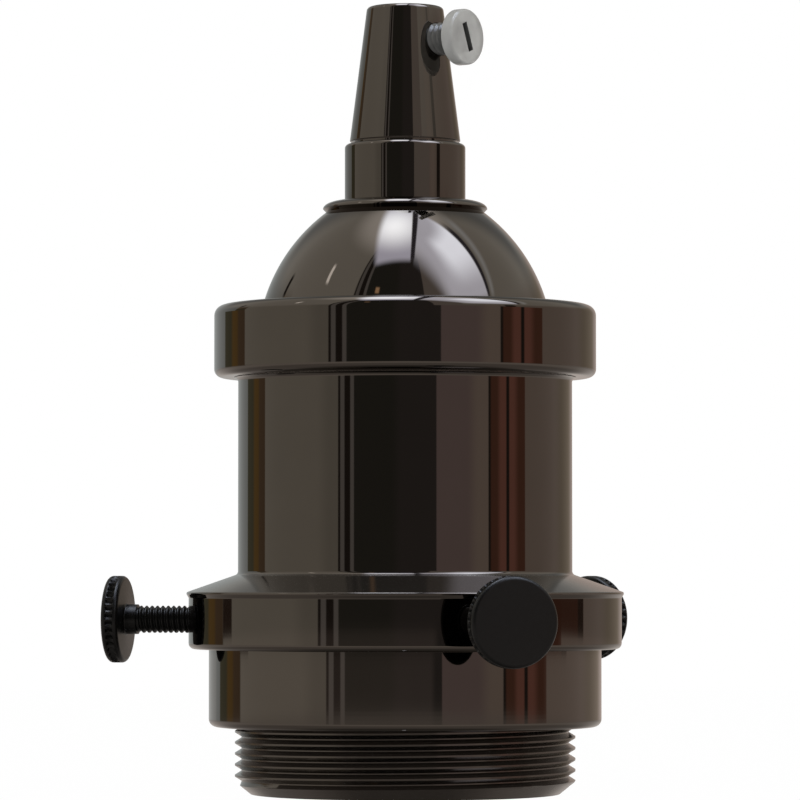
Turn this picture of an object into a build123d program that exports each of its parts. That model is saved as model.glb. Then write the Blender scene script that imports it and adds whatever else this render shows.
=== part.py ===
from build123d import *
import math
import os

# Lamp holder with a threaded nose, a three-screw shade gallery and a domed cap.
# Lengths are millimetres. The axis of the holder is Z, and Z = 0 is the end face of
# the nose, where the lamp enters. Azimuths are degrees about Z, from the front (-Y)
# towards the right (+X).

# Clearances
thread_play = 0.06        # radial play of a thread that turns by hand
seat_play = 0.05          # radial play of a piece that is fixed in its hole
face_play = 0.4           # room left where two faces do not bear on each other
same_place = 0.02         # how near an edge lies to the place it is looked up by

# Nose with the thread for shade rings
nose_wall = 1.9           # from the tube's bore to the crests of the nose thread
nose_thread_pitch = 1.28
nose_thread_depth = 0.76
nose_thread_crest = 0.3
nose_thread_start = 0.55  # foot of the first crest, low enough that a groove runs out in the chamfer
nose_thread_cover = 3.0   # how far the thread runs up inside the gallery
nose_chamfer_height = 1.75
nose_chamfer_width = 2.2
mouth_lip = 1.6
mouth_lip_reach = 1.5     # how far the lip reaches inwards from the tube's bore

# Gallery round the nose that carries a glass shade, and the shoulder above it
gallery_bottom_z = 16.8
gallery_wall = 1.0
gallery_room = 1.36       # between the shade ring and the gallery's inner wall
gallery_height = 6.6
gallery_lip_proud = 0.25
gallery_lip_height = 0.25
gallery_flare = 0.95      # height over which the wall flares out to the lip
gallery_edge_round = 0.7
shoulder_rise = 2.1
shoulder_fillet = 0.4
gallery_lip_z = gallery_bottom_z + gallery_height

# Body tube
body_wall = 1.57
body_length = 22.9
body_foot_z = gallery_lip_z + shoulder_rise
collar_bottom_z = body_foot_z + body_length

# Thread between the tube and the cap
cap_thread_setback = 0.22 # how far the spigot's thread lies inside the tube's surface
cap_thread_pitch = 1.0
cap_thread_depth = 0.5
cap_thread_crest = 0.25
cap_thread_relief = 0.6
collar_skirt_depth = 0.8

# Cap: collar, dome, flange pad and neck, turned as one piece
collar_overhang = 2.8     # how far the collar stands out from the tube
collar_height = 8.4
collar_bottom_round = 1.0
collar_top_round = 1.2
collar_roof = 1.6
dome_height = 10.7
dome_arc_radius = 20.23
dome_arc_offset = 2.91
dome_arc_sink = 5.3       # how far the arc's centre lies below the collar's top
dome_wall = 1.4
pad_radius = 9.6
pad_thickness = 1.5
pad_round = 0.9
boss_radius = 9.1         # flat inside the dome's top that the stem's nut pulls against
neck_radius = 7.05
neck_length = 6.7
neck_round = 0.5
collar_top_z = collar_bottom_z + collar_height
cap_seat_z = collar_top_z - collar_roof
dome_arc_z = collar_top_z - dome_arc_sink
pad_bottom_z = collar_top_z + dome_height
pad_top_z = pad_bottom_z + pad_thickness
neck_top_z = pad_top_z + neck_length
boss_z = dome_arc_z + math.sqrt((dome_arc_radius - dome_wall) ** 2 - (boss_radius + dome_arc_offset) ** 2)

# Stem that joins the cap and the cord grip
nipple_radius = 4.95
nipple_bore_radius = 3.7
nipple_grip_reach = 4.5
nipple_below_nut = 1.0
washer_radius = 7.6
washer_thickness = 0.6
washer_teeth = 10
washer_notch = 0.9
locknut_across_flats = 14.0
locknut_height = 2.8
nipple_top_z = neck_top_z + nipple_grip_reach

# Earth tag and its screw, inside the dome
earth_tag_radius = 7.4
earth_tag_thickness = 0.6
earth_tag_width = 6.0
earth_tag_reach = 8.6
earth_tag_drop = 8.4
earth_screw_radius = 1.7
earth_screw_length = 3.0
earth_screw_head_radius = 3.2
earth_screw_head_height = 1.8
earth_screw_rise = 2.8

# Cord grip, a cone with one plastic clamp screw
grip_base_radius = 6.47
grip_top_radius = 4.45
grip_height = 15.8
grip_bore_radius = 3.1
grip_top_round = 0.5
grip_mouth_chamfer = 0.4
grip_seam_height = 0.3
grip_seam_depth = 0.55
grip_screw_azimuth = 52.0
grip_screw_drop = 4.1
grip_screw_radius = 1.9
grip_screw_tip_play = 0.1
grip_screw_shank = 4.5
grip_screw_head_radius = 3.25
grip_screw_head_height = 1.5
grip_screw_head_round = 0.35
grip_screw_slot_width = 0.9
grip_screw_slot_depth = 0.8
grip_base_z = neck_top_z + grip_seam_height
grip_top_z = grip_base_z + grip_height
grip_screw_z = grip_top_z - grip_screw_drop
grip_screw_tip = grip_bore_radius + grip_screw_tip_play

# Shade ring, a plain drum with a threaded bore
ring_wall = 2.98
ring_height = 9.4
ring_cover = 0.4          # how far the ring stands up inside the gallery
ring_bottom_round = 1.0
ring_top_chamfer = 0.4
ring_bore_chamfer = 0.5
ring_bottom_z = gallery_bottom_z + ring_cover - ring_height

# Thumb screws of the gallery
thumb_azimuths = {"thumb_screw_front": 20.0, "thumb_screw_left": -100.0, "thumb_screw_back": 138.5}
thumb_rise = 3.4
thumb_tip_proud = 0.5
thumb_shank_radius = 1.6
thumb_shank_length = 8.2
thumb_neck_radius = 1.75
thumb_neck_length = 1.4
thumb_head_radius = 5.2
thumb_head_height = 2.0
thumb_knurl_teeth = 36
thumb_knurl_depth = 0.25
thumb_inner_rim = 0.3     # plain edge of the head on the gallery's side
thumb_knurl_width = 1.1
thumb_face_bevel = 0.45
thumb_tip_chamfer = 0.4
thumb_z = gallery_bottom_z + thumb_rise

# Porcelain core
core_play = 0.2           # radial play of the core in the tube
core_wall = 3.4
core_socket_play = 0.6    # radial room round the lamp's sleeve
core_socket_depth = 26.8
core_floor_thickness = 5.6
core_chamber_wall = 2.5
core_rib_thickness = 2.2
core_rib_height = 12.0
core_edge_chamfer = 0.6
core_socket_floor_z = mouth_lip + core_socket_depth

# Screw shell for the lamp, pressed from sheet
lamp_thread_major = 13.3
lamp_thread_depth = 1.0
lamp_thread_pitch = 3.63
lamp_thread_turns = 5
lamp_thread_flat = 0.9
lamp_shell_rise = 3.4     # height of the sleeve's rim above the core's lower face
lamp_shell_sheet = 0.4
lamp_shell_flange_land = 1.8  # from the rivets' circle in to the flange's hole
lamp_shell_bottom_z = mouth_lip + lamp_shell_rise

# Centre contact, a folded leaf
leaf_thickness = 0.4
leaf_width = 5.0
leaf_tab_end = 7.0
leaf_fold = 3.0
leaf_low_reach = -2.0
leaf_low_drop = 2.6
leaf_tip_reach = -4.0
leaf_tip_drop = 1.9
leaf_rivet_play = 0.25
leaf_head_room = 0.45

# Rivets through the floor of the core
rivet_radius = 1.0
rivet_head_radius = 1.6
rivet_head_height = 0.6
live_rivet_reach = 5.2
shell_rivet_inset = 3.0   # from the lamp thread in to the rivets' circle
neutral_rivet_azimuth = -90.0
plain_rivet_azimuth = 135.0

# Terminals in the chamber of the core
terminal_width = 6.0
terminal_block = 5.0
terminal_height = 8.0
terminal_foot = 4.0
terminal_foot_height = 1.0
terminal_wire_radius = 1.3
terminal_wire_rise = 3.6
terminal_screw_radius = 1.45
terminal_screw_length = 3.6
terminal_screw_head_radius = 2.6
terminal_screw_head_height = 2.0
terminal_screw_head_lift = 0.8
screw_slot_width = 0.8
screw_slot_depth = 0.9

# Radii that follow from the lamp's thread outwards
lamp_thread_minor = lamp_thread_major - lamp_thread_depth
shell_rivet_reach = lamp_thread_major - shell_rivet_inset
lamp_shell_hole_radius = shell_rivet_reach - lamp_shell_flange_land
core_socket_radius = lamp_thread_major + lamp_shell_sheet + core_socket_play
core_radius = core_socket_radius + core_wall
core_chamber_radius = core_radius - core_chamber_wall
body_bore_radius = core_radius + core_play
body_radius = body_bore_radius + body_wall
mouth_radius = body_bore_radius - mouth_lip_reach
cap_thread_radius = body_radius - cap_thread_setback
collar_radius = body_radius + collar_overhang
nose_thread_radius = body_bore_radius + nose_wall
ring_radius = nose_thread_radius + thread_play + ring_wall
gallery_radius = ring_radius + gallery_room + gallery_wall
thumb_tip = gallery_radius - gallery_wall - thumb_tip_proud


def section(*corners):
    """Closed face in the plane of the axis from (radius, height) corners."""
    return Plane.XZ * make_face(Polyline(*corners, close=True).edges())


def turned(*corners):
    """Solid of revolution about Z from (radius, height) corners."""
    return revolve(section(*corners), Axis.Z, 360)


def disc(radius, low, high):
    """Plain cylinder on the axis between two heights."""
    return Pos(0, 0, low) * Cylinder(radius, high - low, align=(Align.CENTER, Align.CENTER, Align.MIN))


def block(low, high):
    """Box between two opposite corners."""
    size = [top - bottom for bottom, top in zip(low, high)]
    return Pos(*low) * Box(*size, align=(Align.MIN, Align.MIN, Align.MIN))


def circle_edge(solid, radius, height):
    """The circular edges of a turned solid at one radius and height."""
    found = []
    for edge in solid.edges().filter_by(GeomType.CIRCLE):
        place = edge.arc_center
        if abs(edge.radius - radius) < same_place and abs(place.Z - height) < same_place:
            found.append(edge)
    return found


def radial(azimuth, height):
    """Placement that turns a solid's own +Z outwards from the axis at an azimuth."""
    return Pos(0, 0, height) * Rot(0, 0, azimuth) * Rot(90, 0, 0)


def at_azimuth(reach, azimuth):
    """Placement at a distance from the axis, with the solid still upright."""
    angle = math.radians(azimuth)
    return Pos(reach * math.sin(angle), -reach * math.cos(angle), 0)


def thread_grooves(radius, depth, pitch, crest, start, end):
    """V grooves one pitch apart, cut round a cylinder between two heights."""
    half = (pitch - crest) / 2
    outside = radius + face_play
    spread = half * (depth + face_play) / depth
    grooves = []
    for turn in range(int((end - start) / pitch)):
        middle = start + crest + half + turn * pitch
        root = (radius - depth, middle)
        grooves.append(turned(root, (outside, middle - spread), (outside, middle + spread)))
    return grooves


def shoulder_z(radius):
    """Height of the conical shoulder's top surface at a radius."""
    edge_radius = gallery_radius + gallery_lip_proud
    slope = (body_foot_z - gallery_lip_z) / (edge_radius - body_radius)
    return gallery_lip_z + slope * (edge_radius - radius)


def make_shell():
    """Body tube, shoulder, gallery and threaded nose, turned as one piece."""
    channel_radius = gallery_radius - gallery_wall
    nose_root = nose_thread_radius - nose_thread_depth
    lip_radius = gallery_radius + gallery_lip_proud
    spigot_bottom = collar_bottom_z + collar_skirt_depth - seat_play
    spigot_top = cap_seat_z - face_play
    spigot_root = cap_thread_radius - cap_thread_depth
    thread_top = gallery_bottom_z + nose_thread_cover
    shell = turned(
        (mouth_radius, 0),
        (nose_thread_radius - nose_chamfer_width, 0),
        (nose_thread_radius, nose_chamfer_height),
        (nose_thread_radius, thread_top),
        (nose_root, thread_top + nose_thread_depth),
        (nose_root, shoulder_z(nose_root) - gallery_wall),
        (channel_radius, shoulder_z(channel_radius) - gallery_wall),
        (channel_radius, gallery_bottom_z),
        (gallery_radius, gallery_bottom_z),
        (gallery_radius, gallery_lip_z - gallery_lip_height - gallery_flare),
        (lip_radius, gallery_lip_z - gallery_lip_height),
        (lip_radius, gallery_lip_z),
        (body_radius, body_foot_z),
        (body_radius, spigot_bottom),
        (spigot_root, spigot_bottom),
        (spigot_root, spigot_bottom + cap_thread_relief),
        (cap_thread_radius, spigot_bottom + cap_thread_relief),
        (cap_thread_radius, spigot_top - cap_thread_depth),
        (spigot_root, spigot_top),
        (body_bore_radius, spigot_top),
        (body_bore_radius, mouth_lip),
        (mouth_radius, mouth_lip),
    )
    edge_round = min(gallery_edge_round, 0.8 * gallery_wall)
    shell = fillet(circle_edge(shell, gallery_radius, gallery_bottom_z), edge_round)
    shell = fillet(circle_edge(shell, body_radius, body_foot_z), shoulder_fillet)
    shell -= thread_grooves(
        nose_thread_radius,
        nose_thread_depth,
        nose_thread_pitch,
        nose_thread_crest,
        nose_thread_start,
        thread_top,
    )
    shell -= thread_grooves(
        cap_thread_radius,
        cap_thread_depth,
        cap_thread_pitch,
        cap_thread_crest,
        spigot_bottom + cap_thread_relief,
        spigot_top - cap_thread_depth,
    )
    for azimuth in thumb_azimuths.values():
        tapped = disc(thumb_shank_radius + thread_play, channel_radius - face_play, lip_radius + face_play)
        shell -= radial(azimuth, thumb_z) * tapped
    return shell


def dome_body(arc_radius, bottom, top):
    """Solid under the dome's arc between two heights."""
    def arc_reach(height):
        return math.sqrt(arc_radius**2 - (height - dome_arc_z) ** 2) - dome_arc_offset

    middle = (bottom + top) / 2
    outline = [
        Line((0, bottom), (arc_reach(bottom), bottom)),
        ThreePointArc((arc_reach(bottom), bottom), (arc_reach(middle), middle), (arc_reach(top), top)),
        Line((arc_reach(top), top), (0, top)),
        Line((0, top), (0, bottom)),
    ]
    return revolve(Plane.XZ * make_face(outline), Axis.Z, 360)


def make_cap():
    """Collar, dome, flange pad and neck, turned as one piece and hollow below."""
    collar = disc(collar_radius, collar_bottom_z, collar_top_z)
    collar = fillet(circle_edge(collar, collar_radius, collar_bottom_z), collar_bottom_round)
    collar = fillet(circle_edge(collar, collar_radius, collar_top_z), collar_top_round)
    dome = dome_body(dome_arc_radius, cap_seat_z, (pad_bottom_z + pad_top_z) / 2)
    pad = disc(pad_radius, pad_bottom_z, pad_top_z)
    pad = fillet(circle_edge(pad, pad_radius, pad_top_z), pad_round)
    neck = disc(neck_radius, pad_bottom_z, neck_top_z)
    neck = fillet(circle_edge(neck, neck_radius, neck_top_z), neck_round)
    cap = collar + dome + pad + neck
    cap -= disc(cap_thread_radius + thread_play, collar_bottom_z, cap_seat_z)
    cap -= disc(body_radius + thread_play, collar_bottom_z, collar_bottom_z + collar_skirt_depth)
    cap -= dome_body(dome_arc_radius - dome_wall, cap_seat_z, boss_z)
    cap -= disc(nipple_radius + seat_play, boss_z, neck_top_z)
    return cap


def nut_bottom_z():
    """Height of the locknut's lower face, under the lock washer and the earth tag."""
    return boss_z - washer_thickness - earth_tag_thickness - locknut_height


def make_nipple():
    """Hollow threaded stem from inside the dome up into the cord grip."""
    bottom = nut_bottom_z() - nipple_below_nut
    nipple = disc(nipple_radius, bottom, nipple_top_z) - disc(nipple_bore_radius, bottom, nipple_top_z)
    return chamfer(circle_edge(nipple, nipple_radius, bottom), face_play)


def make_lock_washer():
    """Toothed washer against the inside of the cap."""
    top = boss_z
    bottom = boss_z - washer_thickness
    washer = disc(washer_radius, bottom, top) - disc(nipple_radius + seat_play, bottom, top)
    for tooth in range(washer_teeth):
        cut = block(
            (washer_radius - washer_notch, -washer_notch / 2, bottom),
            (washer_radius + face_play, washer_notch / 2, top),
        )
        washer -= Rot(0, 0, 360 * tooth / washer_teeth) * cut
    return washer


def make_earth_tag():
    """Flat ring tag with a leg that is folded down to take the earth screw."""
    top = boss_z - washer_thickness
    bottom = top - earth_tag_thickness
    tag = disc(earth_tag_radius, bottom, top)
    tag += block((0, -earth_tag_width / 2, bottom), (earth_tag_reach, earth_tag_width / 2, top))
    tag += block(
        (earth_tag_reach - earth_tag_thickness, -earth_tag_width / 2, top - earth_tag_drop),
        (earth_tag_reach, earth_tag_width / 2, top),
    )
    tag -= disc(nipple_radius + seat_play, bottom, top)
    screw_hole = disc(earth_screw_radius + seat_play, 0, earth_tag_reach + face_play)
    tag -= Pos(0, 0, earth_screw_z()) * Rot(0, 90, 0) * screw_hole & block(
        (earth_tag_reach - 2 * earth_tag_thickness, -earth_tag_width, 0),
        (earth_tag_reach + face_play, earth_tag_width, earth_screw_z() + earth_tag_width),
    )
    return tag


def earth_screw_z():
    """Height of the earth screw's axis."""
    return boss_z - washer_thickness - earth_tag_drop + earth_screw_rise


def slotted_screw(radius, tip, shoulder, head_radius, head_height, slot_width, slot_depth):
    """Cheese-head screw on its own axis from its tip to its slotted head."""
    top = shoulder + head_height
    screw = disc(radius, tip, shoulder) + disc(head_radius, shoulder, top)
    screw -= block((-head_radius, -slot_width / 2, top - slot_depth), (head_radius, slot_width / 2, top))
    return screw


def make_earth_screw():
    """Screw through the leg of the earth tag, its head outwards."""
    screw = slotted_screw(
        earth_screw_radius,
        earth_tag_reach - earth_screw_length,
        earth_tag_reach,
        earth_screw_head_radius,
        earth_screw_head_height,
        screw_slot_width,
        screw_slot_depth,
    )
    return Pos(0, 0, earth_screw_z()) * Rot(0, 90, 0) * screw


def make_locknut():
    """Thin hexagon nut under the earth tag."""
    bottom = nut_bottom_z()
    hexagon = RegularPolygon(locknut_across_flats / 2, 6, major_radius=False, rotation=30)
    nut = Pos(0, 0, bottom) * extrude(hexagon, locknut_height)
    return nut - disc(nipple_radius + seat_play, bottom, bottom + locknut_height)


def make_cord_grip():
    """Cone with a cord bore, a socket for the stem and a tapped hole for its screw."""
    spigot_radius = grip_base_radius - grip_seam_depth
    grip = turned(
        (0, neck_top_z),
        (spigot_radius, neck_top_z),
        (spigot_radius, grip_base_z),
        (grip_base_radius, grip_base_z),
        (grip_top_radius, grip_top_z),
        (0, grip_top_z),
    )
    grip = fillet(circle_edge(grip, grip_top_radius, grip_top_z), grip_top_round)
    grip -= disc(grip_bore_radius, neck_top_z, grip_top_z)
    grip = chamfer(circle_edge(grip, grip_bore_radius, grip_top_z), grip_mouth_chamfer)
    grip -= disc(nipple_radius + seat_play, neck_top_z, nipple_top_z + face_play)
    tapped = disc(grip_screw_radius + thread_play, 0, grip_base_radius + face_play)
    return grip - radial(grip_screw_azimuth, grip_screw_z) * tapped


def make_grip_screw():
    """Clear plastic screw that presses on the cord, with a round slotted head."""
    shoulder = grip_screw_tip + grip_screw_shank
    top = shoulder + grip_screw_head_height
    head = disc(grip_screw_head_radius, shoulder, top)
    head = fillet(circle_edge(head, grip_screw_head_radius, top), grip_screw_head_round)
    slot = block(
        (-grip_screw_head_radius, -grip_screw_slot_width / 2, top - grip_screw_slot_depth),
        (grip_screw_head_radius, grip_screw_slot_width / 2, top),
    )
    screw = disc(grip_screw_radius, grip_screw_tip, shoulder) + (head - slot)
    return radial(grip_screw_azimuth, grip_screw_z) * screw


def make_shade_ring():
    """Plain drum with a bore that runs on the nose thread."""
    bore = nose_thread_radius + thread_play
    top = ring_bottom_z + ring_height
    ring = turned(
        (bore + ring_bore_chamfer, ring_bottom_z),
        (ring_radius, ring_bottom_z),
        (ring_radius, top - ring_top_chamfer),
        (ring_radius - ring_top_chamfer, top),
        (bore + ring_bore_chamfer, top),
        (bore, top - ring_bore_chamfer),
        (bore, ring_bottom_z + ring_bore_chamfer),
    )
    return fillet(circle_edge(ring, ring_radius, ring_bottom_z), ring_bottom_round)


def make_thumb_screw(azimuth):
    """Gallery screw with a flat head that is knurled round its rim."""
    shoulder = thumb_tip + thumb_shank_length
    under_head = shoulder + thumb_neck_length
    top = under_head + thumb_head_height
    rim_radius = thumb_head_radius - thumb_knurl_depth
    teeth = []
    for step in range(2 * thumb_knurl_teeth):
        angle = math.pi * step / thumb_knurl_teeth
        reach = thumb_head_radius if step % 2 else rim_radius
        teeth.append((reach * math.cos(angle), reach * math.sin(angle)))
    knurl = extrude(make_face(Polyline(*teeth, close=True).edges()), thumb_knurl_width)
    screw = disc(thumb_shank_radius, thumb_tip, shoulder)
    screw = chamfer(circle_edge(screw, thumb_shank_radius, thumb_tip), thumb_tip_chamfer)
    screw += disc(thumb_neck_radius, shoulder, under_head)
    head = disc(rim_radius, under_head, top)
    head = chamfer(circle_edge(head, rim_radius, top), thumb_face_bevel)
    screw += head + Pos(0, 0, under_head + thumb_inner_rim) * knurl
    return radial(azimuth, thumb_z) * screw


def make_core():
    """Porcelain insert: lamp socket below, terminal chamber above, a floor between."""
    chamber_floor = core_socket_floor_z + core_floor_thickness
    core = disc(core_radius, mouth_lip, cap_seat_z)
    core = chamfer(circle_edge(core, core_radius, mouth_lip), core_edge_chamfer)
    core -= disc(core_socket_radius, mouth_lip, core_socket_floor_z)
    core -= disc(core_chamber_radius, chamber_floor, cap_seat_z)
    core += block(
        (-core_rib_thickness / 2, -core_chamber_radius, chamber_floor),
        (core_rib_thickness / 2, core_chamber_radius, chamber_floor + core_rib_height),
    )
    for place in rivet_places().values():
        core -= place * disc(rivet_radius + seat_play, core_socket_floor_z, chamber_floor)
    return core


def rivet_places():
    """Where the three rivets stand."""
    return {
        "centre_rivet": Pos(live_rivet_reach, 0, 0),
        "neutral_rivet": at_azimuth(shell_rivet_reach, neutral_rivet_azimuth),
        "shell_rivet": at_azimuth(shell_rivet_reach, plain_rivet_azimuth),
    }


def make_rivet(low, high):
    """Rivet whose heads bear outside two heights."""
    rivet = disc(rivet_radius, low, high)
    rivet += disc(rivet_head_radius, low - rivet_head_height, low)
    return rivet + disc(rivet_head_radius, high, high + rivet_head_height)


def make_rivets():
    """The three rivets, each between the sheets or leaf that it holds."""
    chamber_floor = core_socket_floor_z + core_floor_thickness
    foot_top = chamber_floor + terminal_foot_height
    sheet_bottom = core_socket_floor_z - lamp_shell_sheet
    leaf_bottom = core_socket_floor_z - leaf_thickness - leaf_head_room
    spans = {
        "centre_rivet": (leaf_bottom, foot_top),
        "neutral_rivet": (sheet_bottom, foot_top),
        "shell_rivet": (sheet_bottom, chamber_floor),
    }
    places = rivet_places()
    return {name: places[name] * make_rivet(*span) for name, span in spans.items()}


def make_screw_shell():
    """Corrugated sheet sleeve that grips the lamp's cap, with a flange at its root."""
    slope = (lamp_thread_pitch - 2 * lamp_thread_flat) / 2
    wall = []
    for turn in range(lamp_thread_turns):
        low = lamp_shell_bottom_z + turn * lamp_thread_pitch
        wall.append((lamp_thread_minor, low))
        wall.append((lamp_thread_minor, low + lamp_thread_flat))
        wall.append((lamp_thread_major, low + lamp_thread_flat + slope))
        wall.append((lamp_thread_major, low + lamp_thread_pitch - slope))
    low = lamp_shell_bottom_z + lamp_thread_turns * lamp_thread_pitch
    wall.append((lamp_thread_minor, low))
    wall.append((lamp_thread_minor, low + lamp_thread_flat))
    wall.append((lamp_thread_major, low + lamp_thread_flat + slope))
    outside = [(radius + lamp_shell_sheet, height) for radius, height in wall]
    flange_bottom = core_socket_floor_z - lamp_shell_sheet
    root = [
        (lamp_thread_major, flange_bottom),
        (lamp_shell_hole_radius, flange_bottom),
        (lamp_shell_hole_radius, core_socket_floor_z),
        (lamp_thread_major + lamp_shell_sheet, core_socket_floor_z),
    ]
    sleeve = turned(*wall, *root, *reversed(outside))
    places = rivet_places()
    for name in ("neutral_rivet", "shell_rivet"):
        sleeve -= places[name] * disc(rivet_radius + seat_play, flange_bottom, core_socket_floor_z)
    return sleeve


def make_centre_contact():
    """Folded leaf: a tab flat on the floor and a tongue that dips to the lamp's tip."""
    middle = core_socket_floor_z - leaf_thickness / 2
    line = Polyline(
        (leaf_tab_end, middle),
        (leaf_fold, middle),
        (leaf_low_reach, middle - leaf_low_drop),
        (leaf_tip_reach, middle - leaf_tip_drop),
    )
    leaf = extrude(Plane.XZ * trace(line, leaf_thickness), leaf_width / 2, both=True)
    hole = disc(rivet_radius + leaf_rivet_play, core_socket_floor_z - 2 * leaf_thickness, core_socket_floor_z)
    return leaf - Pos(live_rivet_reach, 0, 0) * hole


def make_terminal(rivet_reach):
    """Brass block with a foot under its rivet, a wire hole and a tapped hole."""
    floor = core_socket_floor_z + core_floor_thickness
    side = terminal_width / 2
    half_foot = terminal_foot / 2
    top = floor + terminal_height
    terminal = block((-half_foot, -side, floor), (half_foot, side, floor + terminal_foot_height))
    terminal += block((half_foot, -side, floor), (half_foot + terminal_block, side, top))
    middle = half_foot + terminal_block / 2
    wire_hole = Cylinder(terminal_wire_radius, terminal_width)
    terminal -= Pos(middle, 0, floor + terminal_wire_rise) * Rot(90, 0, 0) * wire_hole
    terminal -= Pos(middle, 0, 0) * disc(terminal_screw_radius + seat_play, floor + terminal_wire_rise, top)
    terminal -= disc(rivet_radius + seat_play, floor, floor + terminal_foot_height)
    return Pos(rivet_reach, 0, 0) * terminal


def make_terminal_screw(rivet_reach):
    """Clamp screw that stands in the top of a terminal."""
    top = core_socket_floor_z + core_floor_thickness + terminal_height
    shoulder = top + terminal_screw_head_lift
    screw = slotted_screw(
        terminal_screw_radius,
        shoulder - terminal_screw_length,
        shoulder,
        terminal_screw_head_radius,
        terminal_screw_head_height,
        screw_slot_width,
        screw_slot_depth,
    )
    return Pos(rivet_reach + (terminal_foot + terminal_block) / 2, 0, 0) * screw


def main():
    """Makes every piece and writes each to its own file."""
    pieces = {
        "shell": make_shell(),
        "cap": make_cap(),
        "shade_ring": make_shade_ring(),
        "cord_grip": make_cord_grip(),
        "cord_grip_screw": make_grip_screw(),
        "nipple": make_nipple(),
        "nipple_locknut": make_locknut(),
        "lock_washer": make_lock_washer(),
        "earth_tag": make_earth_tag(),
        "earth_screw": make_earth_screw(),
        "porcelain_core": make_core(),
        "screw_shell": make_screw_shell(),
        "centre_contact": make_centre_contact(),
        "live_terminal": make_terminal(live_rivet_reach),
        "live_terminal_screw": make_terminal_screw(live_rivet_reach),
        "neutral_terminal": make_terminal(-shell_rivet_reach),
        "neutral_terminal_screw": make_terminal_screw(-shell_rivet_reach),
    }
    pieces.update(make_rivets())
    for name, azimuth in thumb_azimuths.items():
        pieces[name] = make_thumb_screw(azimuth)
    os.makedirs("parts", exist_ok=True)
    for name, piece in pieces.items():
        export_step(piece, f"parts/{name}.step")


main()
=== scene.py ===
"""Looks of the lamp holder: turned shell, cap and rings in black nickel, and their screws.

Lengths are metres, in the frame of the packed model: Z is the holder's axis, Z = 0 the
end of the nose. Azimuths turn about Z from the front (-Y) towards the right (+X).
"""

import math

import bmesh
import bpy
from bpy.props import FloatProperty, FloatVectorProperty, IntProperty, PointerProperty
from bpy.types import Operator, Panel, PropertyGroup
from mathutils import Matrix, Vector


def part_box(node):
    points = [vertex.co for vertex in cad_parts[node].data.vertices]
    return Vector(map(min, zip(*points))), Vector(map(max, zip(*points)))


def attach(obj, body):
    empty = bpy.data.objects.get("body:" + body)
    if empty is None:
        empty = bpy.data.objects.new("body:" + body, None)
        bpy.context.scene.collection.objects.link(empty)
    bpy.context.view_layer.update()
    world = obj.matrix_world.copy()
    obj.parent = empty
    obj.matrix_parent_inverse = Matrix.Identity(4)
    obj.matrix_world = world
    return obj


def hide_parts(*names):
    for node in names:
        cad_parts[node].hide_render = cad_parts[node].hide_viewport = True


bl_info = {
    "name": "Lamp Holder",
    "version": (1, 0, 0),
    "blender": (4, 5, 0),
    "location": "3D View > Sidebar > Lamp Holder",
    "description": "Builds the turned, threaded and moulded pieces of a lamp holder",
    "category": "Add Mesh",
}

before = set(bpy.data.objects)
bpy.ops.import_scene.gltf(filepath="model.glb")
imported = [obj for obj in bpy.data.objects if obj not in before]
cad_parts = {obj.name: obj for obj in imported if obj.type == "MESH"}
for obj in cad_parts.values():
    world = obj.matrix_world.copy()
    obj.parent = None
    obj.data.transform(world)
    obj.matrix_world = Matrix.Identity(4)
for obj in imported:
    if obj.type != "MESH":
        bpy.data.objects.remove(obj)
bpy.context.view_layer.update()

SHELL_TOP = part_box("shell")[1].z
LIP_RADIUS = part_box("shell")[1].x
COLLAR_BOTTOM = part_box("cap")[0].z
COLLAR_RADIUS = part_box("cap")[1].x
NECK_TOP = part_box("cap")[1].z
RING_BOTTOM, RING_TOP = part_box("shade_ring")[0].z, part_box("shade_ring")[1].z
RING_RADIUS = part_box("shade_ring")[1].x
GRIP_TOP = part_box("cord_grip")[1].z
SLEEVE_BOTTOM, SLEEVE_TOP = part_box("screw_shell")[0].z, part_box("screw_shell")[1].z
SLEEVE_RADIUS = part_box("screw_shell")[1].x

SHARP_ANGLE = math.radians(38)  # edges that turn further than this stay sharp
WELD = 2e-6  # points closer than this become one
FINE_TURN = 256  # sides of the large turned pieces
SLEEVE_TURN = 192  # sides of the lamp sleeve
SMALL_TURN = 96  # sides of the clamp screw
TOOTH_TURN = 6  # sides to each tooth of a knurled head
HOLE_TURN = 48  # sides of a drilled hole
ROUND_STEPS = 7  # facets of a rounded edge
ARC_STEPS = 40  # facets of the dome's arc
# one pitch of a thread, from root to root: share of the pitch, share of the depth
THREAD_SHAPE = ((0.0, 1.0), (0.05, 1.0), (0.39, 0.07), (0.42, 0.0), (0.58, 0.0), (0.61, 0.07), (0.95, 1.0))
FINE_EDGE = 0.0002  # round of a broken edge
SOFT_EDGE = 0.0003  # round of an inside corner
DRILL_START = 0.0005  # where a drill starts inside the cord bore

GRAIN_DETAIL = 3.0  # octaves of the noise in the finishes
NICKEL_GRAIN = 160  # waves of the haze to a metre
NICKEL_SHADES = (0.95, 1.05)  # darkest and lightest haze, as shares of the plating's colour
MARKS_SCALE = (4, 4, 2600)  # turning marks to a metre, round and along the axis
MARKS_RELIEF = (0.006, 0.00002)  # strength and height of the turning marks

# name, place and power of each soft lamp
LAMPS = (("left lamp", (-0.5, -0.6, 0.6), 2.0), ("right lamp", (0.6, -0.3, 0.7), 1.5))
LAMP_SIZE = 0.5  # side of a soft lamp
LAMP_AIM = (0, 0, 0.045)  # what the lamps point at
CLIP_START = 0.01  # nearest distance that the camera sees


def length(description, default):
    """A size in metres."""
    return FloatProperty(description=description, default=default, unit="LENGTH", precision=5)


def angle(description, degrees):
    """An angle, given in degrees."""
    return FloatProperty(description=description, default=math.radians(degrees), unit="ROTATION")


def colour(description, default):
    """A linear colour."""
    return FloatVectorProperty(description=description, default=default, subtype="COLOR", min=0.0, max=20.0)


def point(description, default):
    """A place in the frame."""
    return FloatVectorProperty(description=description, default=default, subtype="XYZ")


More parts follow.
